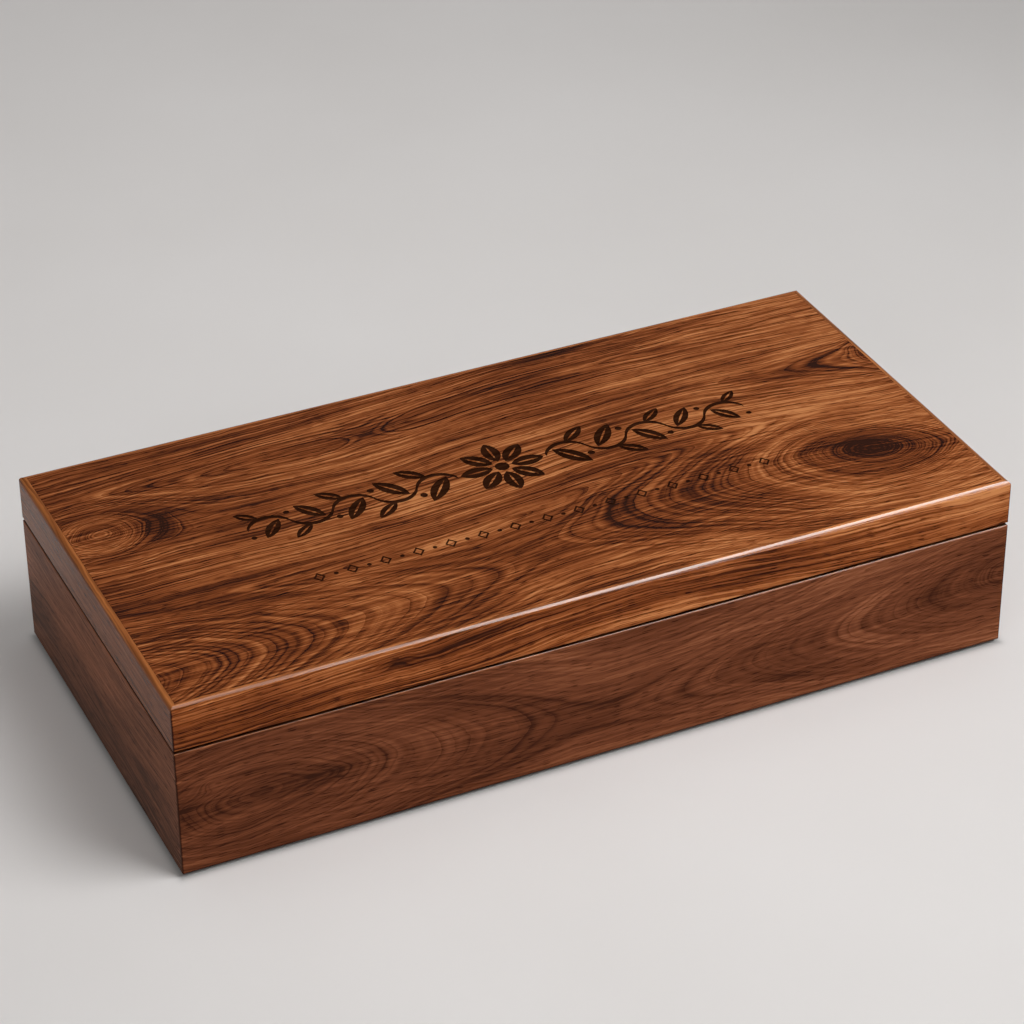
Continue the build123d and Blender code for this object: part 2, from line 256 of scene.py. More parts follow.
def walnut(
    name, cut, seed, eyes, knots, tones,
    arch=(0.0, 100.0, 0.0), contrast=1.0, fade=0.0, coat=0.5,
    rim=None, rubbed_painted_highlight_above=None, edge_gloss=1.25, burnt_below=None,
):
    """Lacquered walnut: ring lines, fibres, bands and pores that all follow one ring height.

    cut is the board's (grain, face, turn_over, half length), the first three as in grain_frame.
    The tone is the sum of the parts, each times its share and the contrast, and grows by fade
    with each millimetre along. The glue line of a mitre darkens the last half millimetre before
    either end. Painted shade darkens the lowest millimetres, for the contact shadow, and the rim at
    the parting, for the shade in the gap. The edge above rubbed_painted_highlight_above is lighter
    and warmer, partly wear where the polish is worn through and partly a painted highlight, and
    takes edge_gloss more lacquer. What lies under burnt_below is charred and matt.
    """
    material, tree, shader = new_material(name)
    grain, face, turn_over, half_length = cut
    along, across = grain_frame(tree, grain, face, turn_over)
    height, level, hearts = ring_height(tree, along, across, seed, eyes, knots, arch)

    def streaks(follow, length, width, detail, shift):
        """Noise about 0, drawn out along the grain and following one height across it."""
        place = join(tree, per(tree, along, length), per(tree, follow, width), seed * 0.13 + shift)
        return calc(tree, "SUBTRACT", noise(tree, place, detail), 0.5)

    bands = streaks(height, length=260.0, width=9.0, detail=1.0, shift=15.2)
    fibres = streaks(height, length=75.0, width=0.85, detail=0.6, shift=3.3)
    short_fibres = streaks(level, length=34.0, width=0.75, detail=0.6, shift=4.4)
    patches = join(tree, per(tree, along, 45.0), per(tree, level, 22.0), seed)
    patches = calc(tree, "SUBTRACT", noise(tree, patches, detail=2.0, roughness=0.6), 0.5)
    rings = grain_lines(tree, along, height, spacing=2.6, width=0.10, seed=seed + 1.3)
    threads = grain_lines(tree, along, height, spacing=1.2, width=0.22, seed=seed + 8.9)
    parts = (
        (bands, 0.9),
        (fibres, 0.8),
        (short_fibres, 1.05),
        (patches, 0.7),
        (rings, -0.25),
        (threads, -0.27),
    )
    tone = calc(tree, "MULTIPLY_ADD", along, fade, 0.5 + 0.14 * contrast)
    for part, share in parts:
        tone = calc(tree, "MULTIPLY_ADD", part, share * contrast, tone)
    pore_length, pore_width = 5.5, 0.36
    pores = join(tree, per(tree, along, pore_length), per(tree, level, pore_width), seed + 6.6)
    pores = noise(tree, pores, detail=0.0)
    pores = fade_between(tree, pores, start=0.63, end=0.71, at_start=0.0, at_end=0.35)
    to_end = calc(tree, "SUBTRACT", half_length, calc(tree, "ABSOLUTE", along))
    glue_line = fade_between(tree, to_end, start=0.25, end=0.7, at_start=0.55, at_end=0.0)
    for dark in (hearts, pores, glue_line):
        tone = calc(tree, "SUBTRACT", tone, dark)
    colour = grade(tree, tone, list(zip((0.0, 0.2, 0.4, 0.6, 0.8, 1.0), tones)))

    rough = calc(tree, "MULTIPLY_ADD", fibres, 0.3, 0.5)
    fibre_tone = calc(tree, "ADD", fibres, 0.5)
    lift = add_node(tree, "SeparateXYZ", {0: object_millimetres(tree)}).outputs[2]
    # Painted shade: the lowest couple of millimetres are darkened for the contact shadow at the
    # bottom edge, and the flat rim at the parting for the shade in the gap.
    painted_foot_shade, painted_gap_shade = (0.10, 0.09, 0.09, 1.0), (0.13, 0.12, 0.12, 1.0)
    painted_foot_shade_mask = fade_between(tree, lift, start=1.0, end=2.6, at_start=0.8, at_end=0.0)
    colour = mix_colours(tree, painted_foot_shade_mask, colour, painted_foot_shade, "MULTIPLY")
    lacquer = coat
    # The rounded edge above the given height is lighter and warmer: partly wear where the polish is
    # worn through, partly a painted highlight. It also takes more lacquer.
    if rubbed_painted_highlight_above is not None:
        fully = rubbed_painted_highlight_above + 0.9
        rubbed_painted_highlight = fade_between(tree, lift, rubbed_painted_highlight_above, fully, at_start=0.0, at_end=0.75)
        warm = [(0.3, (0.20, 0.057, 0.013)), (0.7, (0.58, 0.200, 0.052))]
        colour = mix_colours(tree, rubbed_painted_highlight, colour, grade(tree, fibre_tone, warm))
        lacquer = calc(tree, "MULTIPLY_ADD", rubbed_painted_highlight, edge_gloss, coat)
        lacquer = calc(tree, "MINIMUM", lacquer, 1.0)
    # Painted shade: the flat rim at the parting is darkened nearly to black, for the shade in the
    # gap between lid and base.
    if rim is not None:
        painted_gap_shade_mask = calc(tree, "MULTIPLY", calc(tree, "COMPARE", lift, rim, 0.12), 0.95)
        colour = mix_colours(tree, painted_gap_shade_mask, colour, painted_gap_shade, "MULTIPLY")
    if burnt_below is not None:
        burnt = calc(tree, "LESS_THAN", lift, burnt_below)
        char = [(0.3, (0.016, 0.005, 0.002)), (0.7, (0.036, 0.012, 0.005))]
        colour = mix_colours(tree, burnt, colour, grade(tree, fibre_tone, char))
        rough = calc(tree, "MULTIPLY_ADD", burnt, 0.3, rough)
        lacquer = calc(tree, "MULTIPLY_ADD", burnt, -coat, coat)
    peel = stretched(tree, object_millimetres(tree), (0.16, 0.16, 0.16))
    set_inputs(tree, shader, {
        "Base Color": colour,
        "Roughness": rough,
        "Specular IOR Level": 0.0,
        "Coat Weight": lacquer,
        "Coat Roughness": 0.05,
        "Coat IOR": 1.5,
        "Coat Normal": relief(tree, noise(tree, peel, detail=2.0), strength=0.25, depth=0.00003),
    })
    return material


def finish_with(material, *names):
    """Gives CAD pieces one material."""
    for name in names:
        slots = nodes[name].data.materials
        slots.clear()
        slots.append(material)


def stained(gain, *tones):
    """Stain tones from dark to light, all made stronger or weaker by one gain."""
    return [tuple(min(1.0, gain * part) for part in tone) for tone in tones]


base_tones = stained(
    0.95,
    (0.038, 0.0118, 0.0058),
    (0.078, 0.0226, 0.0100),
    (0.125, 0.0372, 0.0155),
    (0.176, 0.0550, 0.0235),
    (0.243, 0.0820, 0.0355),
    (0.336, 0.1240, 0.0570),
)
# The left walls take a lighter, greyer copy of the stain: painted light and reflection, standing in
# for the grey sheen the lacquer shows on the side turned away from the key light.
left_painted_sheen_tones = stained(
    1.45,
    (0.040, 0.0160, 0.0085),
    (0.072, 0.0270, 0.0135),
    (0.112, 0.0415, 0.0205),
    (0.160, 0.0590, 0.0290),
    (0.215, 0.0810, 0.0400),
    (0.290, 0.1120, 0.0570),
)

half_length_mm, half_depth_mm = -1000.0 * cad_box[0][0], -1000.0 * cad_box[0][1]
# Height of the base's rim at the parting, where painted shade darkens the gap.
base_rim_mm = 51.58
front_cut = ("xzy", -half_depth_mm, 0.8, half_length_mm)
back_cut = ("xzy", half_depth_mm, -0.8, half_length_mm)
left_cut = ("yzx", -half_length_mm, 0.8, half_depth_mm)
right_cut = ("yzx", half_length_mm, -0.8, half_depth_mm)

front_eyes = [(-132.0, 26.0, 0.52, 46.0, 0.0, 9.0), (176.0, 31.0, 0.40, 46.0, 0.07, 2.0)]
front_knots = [
    (-122.0, 27.0, 16.0, 7.0, 1.5, 0.32),
    (-104.0, 26.0, 9.0, 3.0, 3.0, 0.24),
    (-147.0, 37.0, 6.0, 2.2, 3.0, -0.10),
    (-157.0, 30.0, 7.0, 2.4, 1.0, 0.26),
    (158.0, 31.0, 8.0, 7.0, 3.0, 0.30),
    (130.0, 31.0, 26.0, 13.0, 0.0, 0.17),
]
base_front_walnut = walnut(
    "walnut_base_front", front_cut, 16.4, front_eyes, front_knots, base_tones,
    arch=(30.0, 90.0, -2.0), contrast=0.70, fade=0.0006, coat=0.05,
    rim=base_rim_mm, rubbed_painted_highlight_above=base_rim_mm - 0.63, edge_gloss=1.35,
)
finish_with(base_front_walnut, "base_front_wall")

left_eyes = [(-170.0, 20.0, 0.3, 20.0, 0.0, 0.0)]
# The one broad knot low on the left wall is painted shade: it darkens the wall towards the bottom,
# standing in for the shade near the floor.
left_painted_low_shade = [(0.0, 2.0, 400.0, 21.0, 0.0, 0.40)]
base_left_walnut = walnut(
    "walnut_base_left", left_cut, 12.7, left_eyes, left_painted_low_shade, left_painted_sheen_tones,
    contrast=0.62, coat=0.24, rim=base_rim_mm,
)
finish_with(base_left_walnut, "base_left_wall")

right_eyes = [(30.0, 26.0, 0.5, 24.0, 0.0, 0.0), (-140.0, 30.0, 0.3, 24.0, 0.0, 0.0)]
right_knots = [(30.0, 26.0, 9.0, 5.0, 4.0, 0.2)]
base_right_walnut = walnut(
    "walnut_base_right", right_cut, 21.3, right_eyes, right_knots, base_tones,
    contrast=0.75, coat=0.3, rim=base_rim_mm,
)
finish_with(base_right_walnut, "base_right_wall")

back_eyes = [(-60.0, 28.0, 0.5, 28.0, 0.0, 0.0), (120.0, 16.0, 0.4, 26.0, 0.0, 0.0)]
back_knots = [(-60.0, 28.0, 12.0, 6.0, 5.0, 0.2)]
base_back_walnut = walnut(
    "walnut_base_back", back_cut, 34.9, back_eyes, back_knots, base_tones,
    contrast=0.75, coat=0.3, rim=base_rim_mm,
)
finish_with(base_back_walnut, "base_back_wall")

# BOTTOM PANEL, CORE PANEL AND TONGUES
# The bottom and the lid's core are fibre board, which keeps flat under veneer and cloth. The
# tongues are beech ply, glued into slots across the mitres.


def fibre_board():
    """Pressed fibre board: a fine even speckle of pale and dark fibres."""
    material, tree, shader = new_material("fibre_board")
    point = object_millimetres(tree)
    coarse = noise(tree, stretched(tree, point, (0.35, 0.35, 0.9)), detail=2.0)
    fine = noise(tree, stretched(tree, point, (2.4, 2.4, 4.0)), detail=3.0, roughness=0.7)
    speckle = calc(tree, "MULTIPLY_ADD", fine, 0.75, calc(tree, "MULTIPLY", coarse, 0.25))
    stops = [(0.32, (0.20, 0.12, 0.065)), (0.5, (0.36, 0.235, 0.13)), (0.68, (0.50, 0.35, 0.21))]
    set_inputs(tree, shader, {
        "Base Color": grade(tree, speckle, stops),
        "Roughness": 0.85,
        "Normal": relief(tree, fine, strength=0.4, depth=0.00005),
    })
    return material


def beech():
    """Beech ply: upright pale grain with short dark flecks."""
    material, tree, shader = new_material("beech_ply")
    point = object_millimetres(tree)
    grain = noise(tree, stretched(tree, point, (1.1, 1.1, 0.05)), detail=3.0, roughness=0.6)
    flecks = noise(tree, stretched(tree, point, (2.6, 2.6, 0.45)), detail=1.0)
    flecks = fade_between(tree, flecks, start=0.62, end=0.70, at_start=0.0, at_end=0.5)
    colour = grade(tree, grain, [(0.3, (0.42, 0.27, 0.14)), (0.7, (0.62, 0.45, 0.27))])
    colour = mix_colours(tree, flecks, colour, (0.22, 0.11, 0.05, 1.0))
    set_inputs(tree, shader, {"Base Color": colour, "Roughness": 0.7})
    return material


finish_with(fibre_board(), "base_bottom_panel", "lid_core_panel")
finish_with(beech(), "base_corner_tongues", "lid_corner_tongues")

# UNDERSIDE BAIZE
# A sheet of dark felt, cut a little inside the base's edges and glued under it. The box stands on
# this alone, so that it slides softly and marks no table.


def smooth_mesh(name, vertices, faces, material):
    """Smooth mesh object from vertices in millimetres and faces, with one material."""
    mesh = bpy.data.meshes.new(name)
    places = np.asarray(vertices) / 1000.0
    mesh.from_pydata(places.tolist(), [], [tuple(f) for f in faces])
    mesh.polygons.foreach_set("use_smooth", np.full(len(mesh.polygons), True))
    mesh.materials.append(material)
    mesh.update()
    made = bpy.data.objects.new(name, mesh)
    bpy.context.scene.collection.objects.link(made)
    return made


def grid_faces(rows, columns, closed=False):
    """Quads between neighbours of a grid of points; closed joins the last column to the first."""
    last = columns if closed else columns - 1
    row, column = np.meshgrid(np.arange(rows - 1), np.arange(last), indexing="ij")
    here, below, after = row * columns, (row + 1) * columns, (column + 1) % columns
    quads = np.stack([here + column, here + after, below + after, below + column], -1)
    return quads.reshape(-1, 4)


def felt():
    """Black-brown felt: matted fibres in a fine cloudy nap."""
    material, tree, shader = new_material("felt")
    point = object_millimetres(tree)
    nap = stretched(tree, point, (1.6, 1.6, 1.6))
    nap = noise(tree, nap, detail=4.0, roughness=0.7, distortion=0.6)
    set_inputs(tree, shader, {
        "Base Color": grade(tree, nap, [(0.3, (0.008, 0.007, 0.006)), (0.7, (0.030, 0.026, 0.023))]),
        "Roughness": 0.95,
        "Sheen Weight": 0.15,
        "Sheen Roughness": 0.6,
        "Normal": relief(tree, nap, strength=0.6, depth=0.0002),
    })
    return material


def felt_sheet(node, name, material):
    """Closed thin sheet on the node's box.

    Its section is carried round the edge: from near the middle of the top, out to the rim, down
    with a soft round, and back under. A point in the middle closes each side. The rim wanders by
    a tenth of a millimetre, as cut felt does: 0.06 sin 37a + 0.05 sin (91a + 1) - 0.12.
    """
    low, high = (np.array(corner) * 1000.0 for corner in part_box(node))
    middle, half = (low + high) / 2, (high - low) / 2
    turn = np.linspace(0.0, 2 * np.pi, 640, endpoint=False)
    outline = np.stack([np.cos(turn), np.sin(turn)], -1)
    outline /= np.abs(outline).max(axis=1, keepdims=True)
    outwards = outline / np.linalg.norm(outline, axis=1, keepdims=True)
    wander = 0.06 * np.sin(37 * turn) + 0.05 * np.sin(91 * turn + 1.0) - 0.12
    plan = outline * half[:2] + outwards * wander[:, None]
    reach = np.array([0.5, 0.9, 0.985, 0.9965, 1.0, 0.9985, 0.985, 0.9, 0.5])
    level = np.array([1.0, 1.0, 1.0, 0.9, 0.0, -0.8, -1.0, -1.0, -1.0])
    flat = middle[:2] + reach[:, None, None] * plan
    lift = np.broadcast_to((middle[2] + half[2] * level)[:, None, None], (*flat.shape[:2], 1))
    rows = np.concatenate([flat, lift], -1).reshape(-1, 3)
    points = np.concatenate([rows, [[*middle[:2], high[2]], [*middle[:2], low[2]]]])
    count, top, bottom = len(turn), len(rows), len(rows) + 1
    last = top - count
    faces = list(grid_faces(len(reach), count, closed=True)[:, ::-1])
    faces += [(top, i, (i + 1) % count) for i in range(count)]
    faces += [(bottom, last + (i + 1) % count, last + i) for i in range(count)]
    return smooth_mesh(name, points, faces, material)


baize = felt_sheet("underside_baize", "felt_underside", felt())
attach(baize, "base")
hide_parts("underside_baize")

# LINING BOARDS
# Thin boards wrapped in pale suede cloth, standing round the inside. Their tops rise past the rim,
# so that the lid drops over them, and the cloth is drawn round both long edges.


def suede(name, base, tip):
    """Suede cloth: a short nap brushed into soft lighter and darker patches."""
    material, tree, shader = new_material(name)
    point = object_millimetres(tree)
    nap = noise(tree, stretched(tree, point, (2.2, 2.2, 2.2)), detail=3.0, roughness=0.65)
    brushed = stretched(tree, point, (0.022, 0.045, 0.045))
    brushed = noise(tree, brushed, detail=2.0, distortion=0.2)
    shade = calc(tree, "MULTIPLY_ADD", brushed, 0.45, calc(tree, "MULTIPLY", nap, 0.55))
    set_inputs(tree, shader, {
        "Base Color": grade(tree, shade, [(0.3, base), (0.7, tip)]),
        "Roughness": 0.9,
        "Specular IOR Level": 0.2,
        "Sheen Weight": 0.5,
        "Sheen Roughness": 0.45,
        "Normal": relief(tree, nap, strength=0.5, depth=0.00015),
    })
    return material


lining_suede = suede("suede_lining", base=(0.46, 0.39, 0.29), tip=(0.66, 0.58, 0.46))
foot_round_mm, top_round_mm, mitre_gap_mm, face_drawn_mm = 0.5, 1.15, 0.03, 0.12


def wrapped_board(node, name, material):
    """Cloth-covered board in the node's box.

    The section is a rounded rectangle, carried along the board as a second parameter. The ends are
    cut at the mitre: the half length falls by as much as the section point lies inwards. With w
    and l from -1 to 1 up and along the board, the cloth draws its face back between the edges by
    0.12 (1 - w^8) (1 - l^12).
    """
    low, high = (np.array(corner) * 1000.0 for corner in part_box(node))
    size, middle = high - low, (low + high) / 2
    along, inward = (0, 1) if size[0] > size[1] else (1, 0)
    thick, tall = size[inward], size[2]
    outer_side = np.sign(middle[inward])
    quarter = np.linspace(0.0, np.pi / 2, 7)
    corners = (
        (0.0, 0.0, foot_round_mm, np.pi),
        (thick, 0.0, foot_round_mm, 1.5 * np.pi),
        (thick, tall, top_round_mm, 0.0),
        (0.0, tall, top_round_mm, 0.5 * np.pi),
    )
    section = []
    for x, z, r, start in corners:
        centre_x, centre_z = (x + r if x == 0 else x - r), (z + r if z == 0 else z - r)
        bend_x = centre_x + r * np.cos(start + quarter)
        section.append(np.stack([bend_x, centre_z + r * np.sin(start + quarter)], -1))
        if x == thick and z == 0:
            rise = r + (tall - r - top_round_mm) * np.linspace(0.06, 0.94, 12)
            section.append(np.stack([np.full(12, thick), rise], -1))
    section = np.concatenate(section)
    share = np.tanh(np.linspace(-3.2, 3.2, 61)) / np.tanh(3.2)
    length, depth = np.meshgrid(share, section[:, 0], indexing="ij")
    rise = np.broadcast_to(section[:, 1], depth.shape)
    drawn_back = face_drawn_mm * (1 - (2 * rise / tall - 1) ** 8) * (1 - length**12)
    drawn_back = np.where(depth > thick - 1e-6, drawn_back, 0.0)
    points = np.zeros((*depth.shape, 3))
    points[..., along] = middle[along] + length * (size[along] / 2 - depth - mitre_gap_mm)
    points[..., inward] = middle[inward] + outer_side * (thick / 2 - depth + drawn_back)
    points[..., 2] = low[2] + rise
    rows, count = depth.shape
    faces = list(grid_faces(rows, count, closed=True))
    faces += [range(count - 1, -1, -1), range((rows - 1) * count, rows * count)]
    made = smooth_mesh(name, points.reshape(-1, 3), faces, material)
    if (along == 0) != (outer_side > 0):
        made.data.flip_normals()
    return made


for side in ("front", "back", "left", "right"):
    board = wrapped_board(f"base_liner_{side}", f"lining_board_{side}", lining_suede)
    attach(board, "base")
    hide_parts(f"base_liner_{side}")

# FLOOR PAD AND LID PAD
# Thin foam boards covered in the same suede cloth, pushed in on the floor and under the lid. The
# cloth is drawn over the edges, so the face is crowned and the sides pull in between the corners.


def covered_pad(node, name, material, face_up):
    """Crowned closed pad in the node's box.

    With u and v from -1 to 1 across the pad, x is u times the half length less a pull of
    0.9 (1 - v^4) |u|^6, and y likewise, so the sides draw in most in their middle. The face lies
    at (0.30 + 0.52 e + 0.14 h) of the thickness, where e = ((1 - |u|^40) (1 - |v|^24))^0.3 rounds
    the edges and h = (1 - u^2) (1 - v^2) is the crown. The back is flat.
    """
    low, high = (np.array(corner) * 1000.0 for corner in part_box(node))
    middle, half = (low + high) / 2, (high - low) / 2
    steps = np.sin(np.linspace(-np.pi / 2, np.pi / 2, 97))
    u, v = np.meshgrid(steps, steps, indexing="ij")
    pull, rim_share, edge_share, crown_share = 0.9, 0.30, 0.52, 0.14
    x = middle[0] + u * (half[0] - pull * (1 - v**4) * np.abs(u) ** 6)
    y = middle[1] + v * (half[1] - pull * (1 - u**4) * np.abs(v) ** 6)
    edge = np.clip((1 - np.abs(u) ** 40) * (1 - np.abs(v) ** 24), 0, 1) ** 0.3
    edge[np.maximum(np.abs(u), np.abs(v)) > 1 - 1e-9] = 0.0
    crown = (1 - u**2) * (1 - v**2)
    face = (high[2] - low[2]) * (rim_share + edge_share * edge + crown_share * crown)
    back_z, away = (low[2], 1.0) if face_up else (high[2], -1.0)
    front = np.stack([x, y, back_z + away * face], -1).reshape(-1, 3)
    back = np.stack([x, y, np.full_like(x, back_z)], -1).reshape(-1, 3)
    count = len(steps)
    quads = grid_faces(count, count)
    ring = np.concatenate([
        np.arange(count),
        np.arange(1, count) * count + count - 1,
        (count - 1) * count + np.arange(count - 2, -1, -1),
        np.arange(count - 2, 0, -1) * count,
    ])
    after, shift = np.roll(ring, -1), count * count
    sides = np.stack([ring, after, after + shift, ring + shift], -1)
    faces = np.concatenate([quads[:, ::-1], quads + shift, sides])
    made = smooth_mesh(name, np.concatenate([front, back]), faces, material)
    if face_up:
        made.data.flip_normals()
    return made


pads = (
    ("base_floor_pad", "floor_pad", "base", True),
    ("lid_pad", "lid_lining_pad", "lid", False),
)
for node, name, body, face_up in pads:
    pad = covered_pad(node, name, lining_suede, face_up)
    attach(pad, body)
    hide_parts(node)

# MAGNETS AND BUMPERS
# Nickel-plated disc magnets glued into the front rims, and clear silicone dots stuck on the base's
# rim, which keep a hair's gap under the lid.


def nickel():
    """Bright nickel plate with faint turning marks and small scuffs."""
    material, tree, shader = new_material("nickel_plate")
    point = object_millimetres(tree)
    scuffs = noise(tree, stretched(tree, point, (1.5, 6.0, 1.5)), detail=3.0, roughness=0.6)
    set_inputs(tree, shader, {
        "Base Color": grade(tree, scuffs, [(0.3, (0.50, 0.49, 0.47)), (0.7, (0.66, 0.65, 0.63))]),
        "Roughness": calc(tree, "MULTIPLY_ADD", scuffs, 0.25, 0.12),
        "Metallic": 1.0,
    })
    return material


def silicone():
    """Clear soft silicone, slightly milky."""
    material, tree, shader = new_material("clear_silicone")
    point = object_millimetres(tree)
    milk = noise(tree, stretched(tree, point, (0.9, 0.9, 0.9)), detail=2.0)
    set_inputs(tree, shader, {
        "Base Color": grade(tree, milk, [(0.3, (0.72, 0.72, 0.70)), (0.7, (0.84, 0.84, 0.82))]),
        "Roughness": calc(tree, "MULTIPLY_ADD", milk, 0.2, 0.2),
        "Transmission Weight": 0.6,
        "IOR": 1.41,
    })
    return material


finish_with(nickel(), "base_magnets", "lid_magnets")
finish_with(silicone(), "rim_bumpers")

# HINGES
# A pair of brass stop hinges let into the back rims. The leaves are milled and brushed along their
# length, and the pins and the slotted countersunk screws are turned.


def brass(name, stretch, polished):
    """Brass brushed along one way, with warm dark patches where the lacquer has dulled."""
    material, tree, shader = new_material(name)
    point = object_millimetres(tree)
    brushed = noise(tree, stretched(tree, point, stretch), detail=3.0, roughness=0.65)
    dulled = noise(tree, stretched(tree, point, (0.22, 0.22, 0.22)), detail=3.0, roughness=0.6)
    colour = grade(tree, dulled, [(0.3, (0.38, 0.235, 0.080)), (0.7, (0.60, 0.405, 0.160))])
    worn = calc(tree, "MULTIPLY", brushed, 0.25)
    set_inputs(tree, shader, {
        "Base Color": mix_colours(tree, worn, colour, (0.70, 0.53, 0.27, 1.0)),
        "Roughness": calc(tree, "MULTIPLY_ADD", brushed, 0.22, polished),
        "Metallic": 1.0,
        "Normal": relief(tree, brushed, strength=0.25, depth=0.00002),
    })
    return material


leaf_brass = brass("brass_leaf", stretch=(0.25, 9.0, 9.0), polished=0.24)
turned_brass = brass("brass_turned", stretch=(5.0, 5.0, 0.8), polished=0.18)
for hand in ("left", "right"):
    finish_with(leaf_brass, f"hinge_{hand}_lower_leaf", f"hinge_{hand}_upper_leaf")
    finish_with(turned_brass, f"hinge_{hand}_lower_screws", f"hinge_{hand}_upper_screws")
    finish_with(turned_brass, f"hinge_{hand}_pin")

# LID RAILS
# Four mitred walnut rails with rounded upper edges. A narrow border of each shows round the top
# panel, with its grain running along the rail.

# The lid's rim at the parting takes the same painted shade of the gap.
lid_rim_mm, lid_top_mm = 52.42, 70.0
orange_tones = (
    (0.026, 0.0060, 0.0020),
    (0.075, 0.0164, 0.0040),
    (0.150, 0.0362, 0.0084),
    (0.243, 0.0665, 0.0168),
    (0.368, 0.1220, 0.0365),
    (0.520, 0.2050, 0.0720),
)
rail_tones = stained(1.12, *orange_tones)

rail_eyes = [(0.0, 12.0, 0.02, 6.0, 0.0, 0.0)]
rail_knots = [
    (-80.0, 63.4, 7.0, 2.2, 2.5, 0.15),
    (58.0, 56.0, 9.0, 2.0, 0.8, 0.15),
    (92.0, 61.5, 20.0, 2.5, -1.6, 0.0),
]
lid_front_walnut = walnut(
    "walnut_lid_front", front_cut, 31.3, rail_eyes, rail_knots, rail_tones,
    arch=(5.0, 75.0, 7.0), contrast=0.95, fade=0.0013, coat=0.12,
    rim=lid_rim_mm, rubbed_painted_highlight_above=lid_top_mm - 1.1,
)
finish_with(lid_front_walnut, "lid_front_rail")

straight = [(0.0, 20.0, 0.02, 6.0, 0.0, 0.0)]
lid_left_walnut = walnut(
    "walnut_lid_left", left_cut, 17.1, straight, [], left_painted_sheen_tones,
    contrast=0.5, coat=0.46, rim=lid_rim_mm, rubbed_painted_highlight_above=lid_top_mm - 1.4, edge_gloss=-0.5,
)
finish_with(lid_left_walnut, "lid_left_rail")

lid_right_walnut = walnut(
    "walnut_lid_right", right_cut, 25.5, straight, [], rail_tones,
    coat=0.35, rim=lid_rim_mm, rubbed_painted_highlight_above=lid_top_mm - 1.4,
)
finish_with(lid_right_walnut, "lid_right_rail")

lid_back_walnut = walnut(
    "walnut_lid_back", back_cut, 44.4, straight, [(50.0, 60.0, 8.0, 3.0, 3.0, 0.2)], rail_tones,
    coat=0.35, rim=lid_rim_mm, rubbed_painted_highlight_above=lid_top_mm - 1.4,
)
finish_with(lid_back_walnut, "lid_back_rail")

# LID FACE VENEER
# One leaf of strongly figured walnut laid over the core panel, with knots at both ends. The vine
# is engraved through the lacquer by a laser, which leaves the cut dark brown and matt.

veneer_half_mm = 158.0
face_cut = ("xyz", lid_top_mm, 0.0, veneer_half_mm)
face_eyes = [
    (-150.0, 27.0, 0.62, 46.0, 0.00, 2.0),
    (-176.0, -63.0, 0.56, 55.0, 0.05, 3.0),
    (127.0, -45.0, 0.62, 60.0, 0.03, 2.0),
    (50.0, 84.0, 0.34, 16.0, 0.06, 3.0),
    (174.0, 17.0, 0.40, 14.0, 0.00, 6.0),
]
face_knots = [
    (-146.0, 28.0, 12.0, 15.0, 16.0, 0.08),
    (-125.0, 24.0, 8.0, 11.0, 2.0, 0.34),
    (-108.0, 24.0, 28.0, 20.0, 0.0, 0.15),
    (-113.0, -42.0, 5.0, 7.0, 1.2, 0.22),
    (-134.0, -56.0, 26.0, 15.0, 0.0, 0.14),
    (124.0, -44.0, 24.0, 13.0, 9.0, 0.14),
    (125.0, -42.0, 16.0, 7.0, 3.0, 0.55),
    (66.0, -46.0, 34.0, 14.0, 0.0, 0.16),
    (20.0, -42.0, 26.0, 26.0, 0.0, 0.10),
    (46.0, 68.0, 14.0, 6.0, 5.0, 0.26),
    (66.0, 68.0, 50.0, 8.0, 0.0, 0.15),
    (-36.0, 48.0, 12.0, 9.0, 4.0, 0.12),
    (-14.0, 50.0, 42.0, 12.0, 0.0, 0.10),
    (10.0, -15.0, 70.0, 2.4, 0.0, 0.20),
    (10.0, -8.0, 100.0, 17.0, 0.0, -0.11),
    (-20.0, 64.0, 190.0, 25.0, 0.0, 0.085),
    (159.0, 19.0, 5.0, 9.0, 5.0, 0.45),
    (105.0, -12.0, 60.0, 16.0, 0.0, 0.06),
    (-105.0, 60.0, 55.0, 12.0, 0.0, 0.07),
]
face_walnut = walnut(
    "walnut_lid_face", face_cut, 52.2, face_eyes, face_knots, stained(1.05, *orange_tones),
    arch=(60.0, 100.0, 10.0), contrast=1.05, fade=0.0002, burnt_below=lid_top_mm - 0.05,
)
finish_with(face_walnut, "lid_face_veneer")

# STUDIO
# A pale seamless floor, a softbox high on the right and a weak fill from the front left, both kept
# out of the gloss. Six banks over the box, brighter to the right, and a low one in front show only
# in the gloss.


horizon = (0.50, 0.49, 0.485)


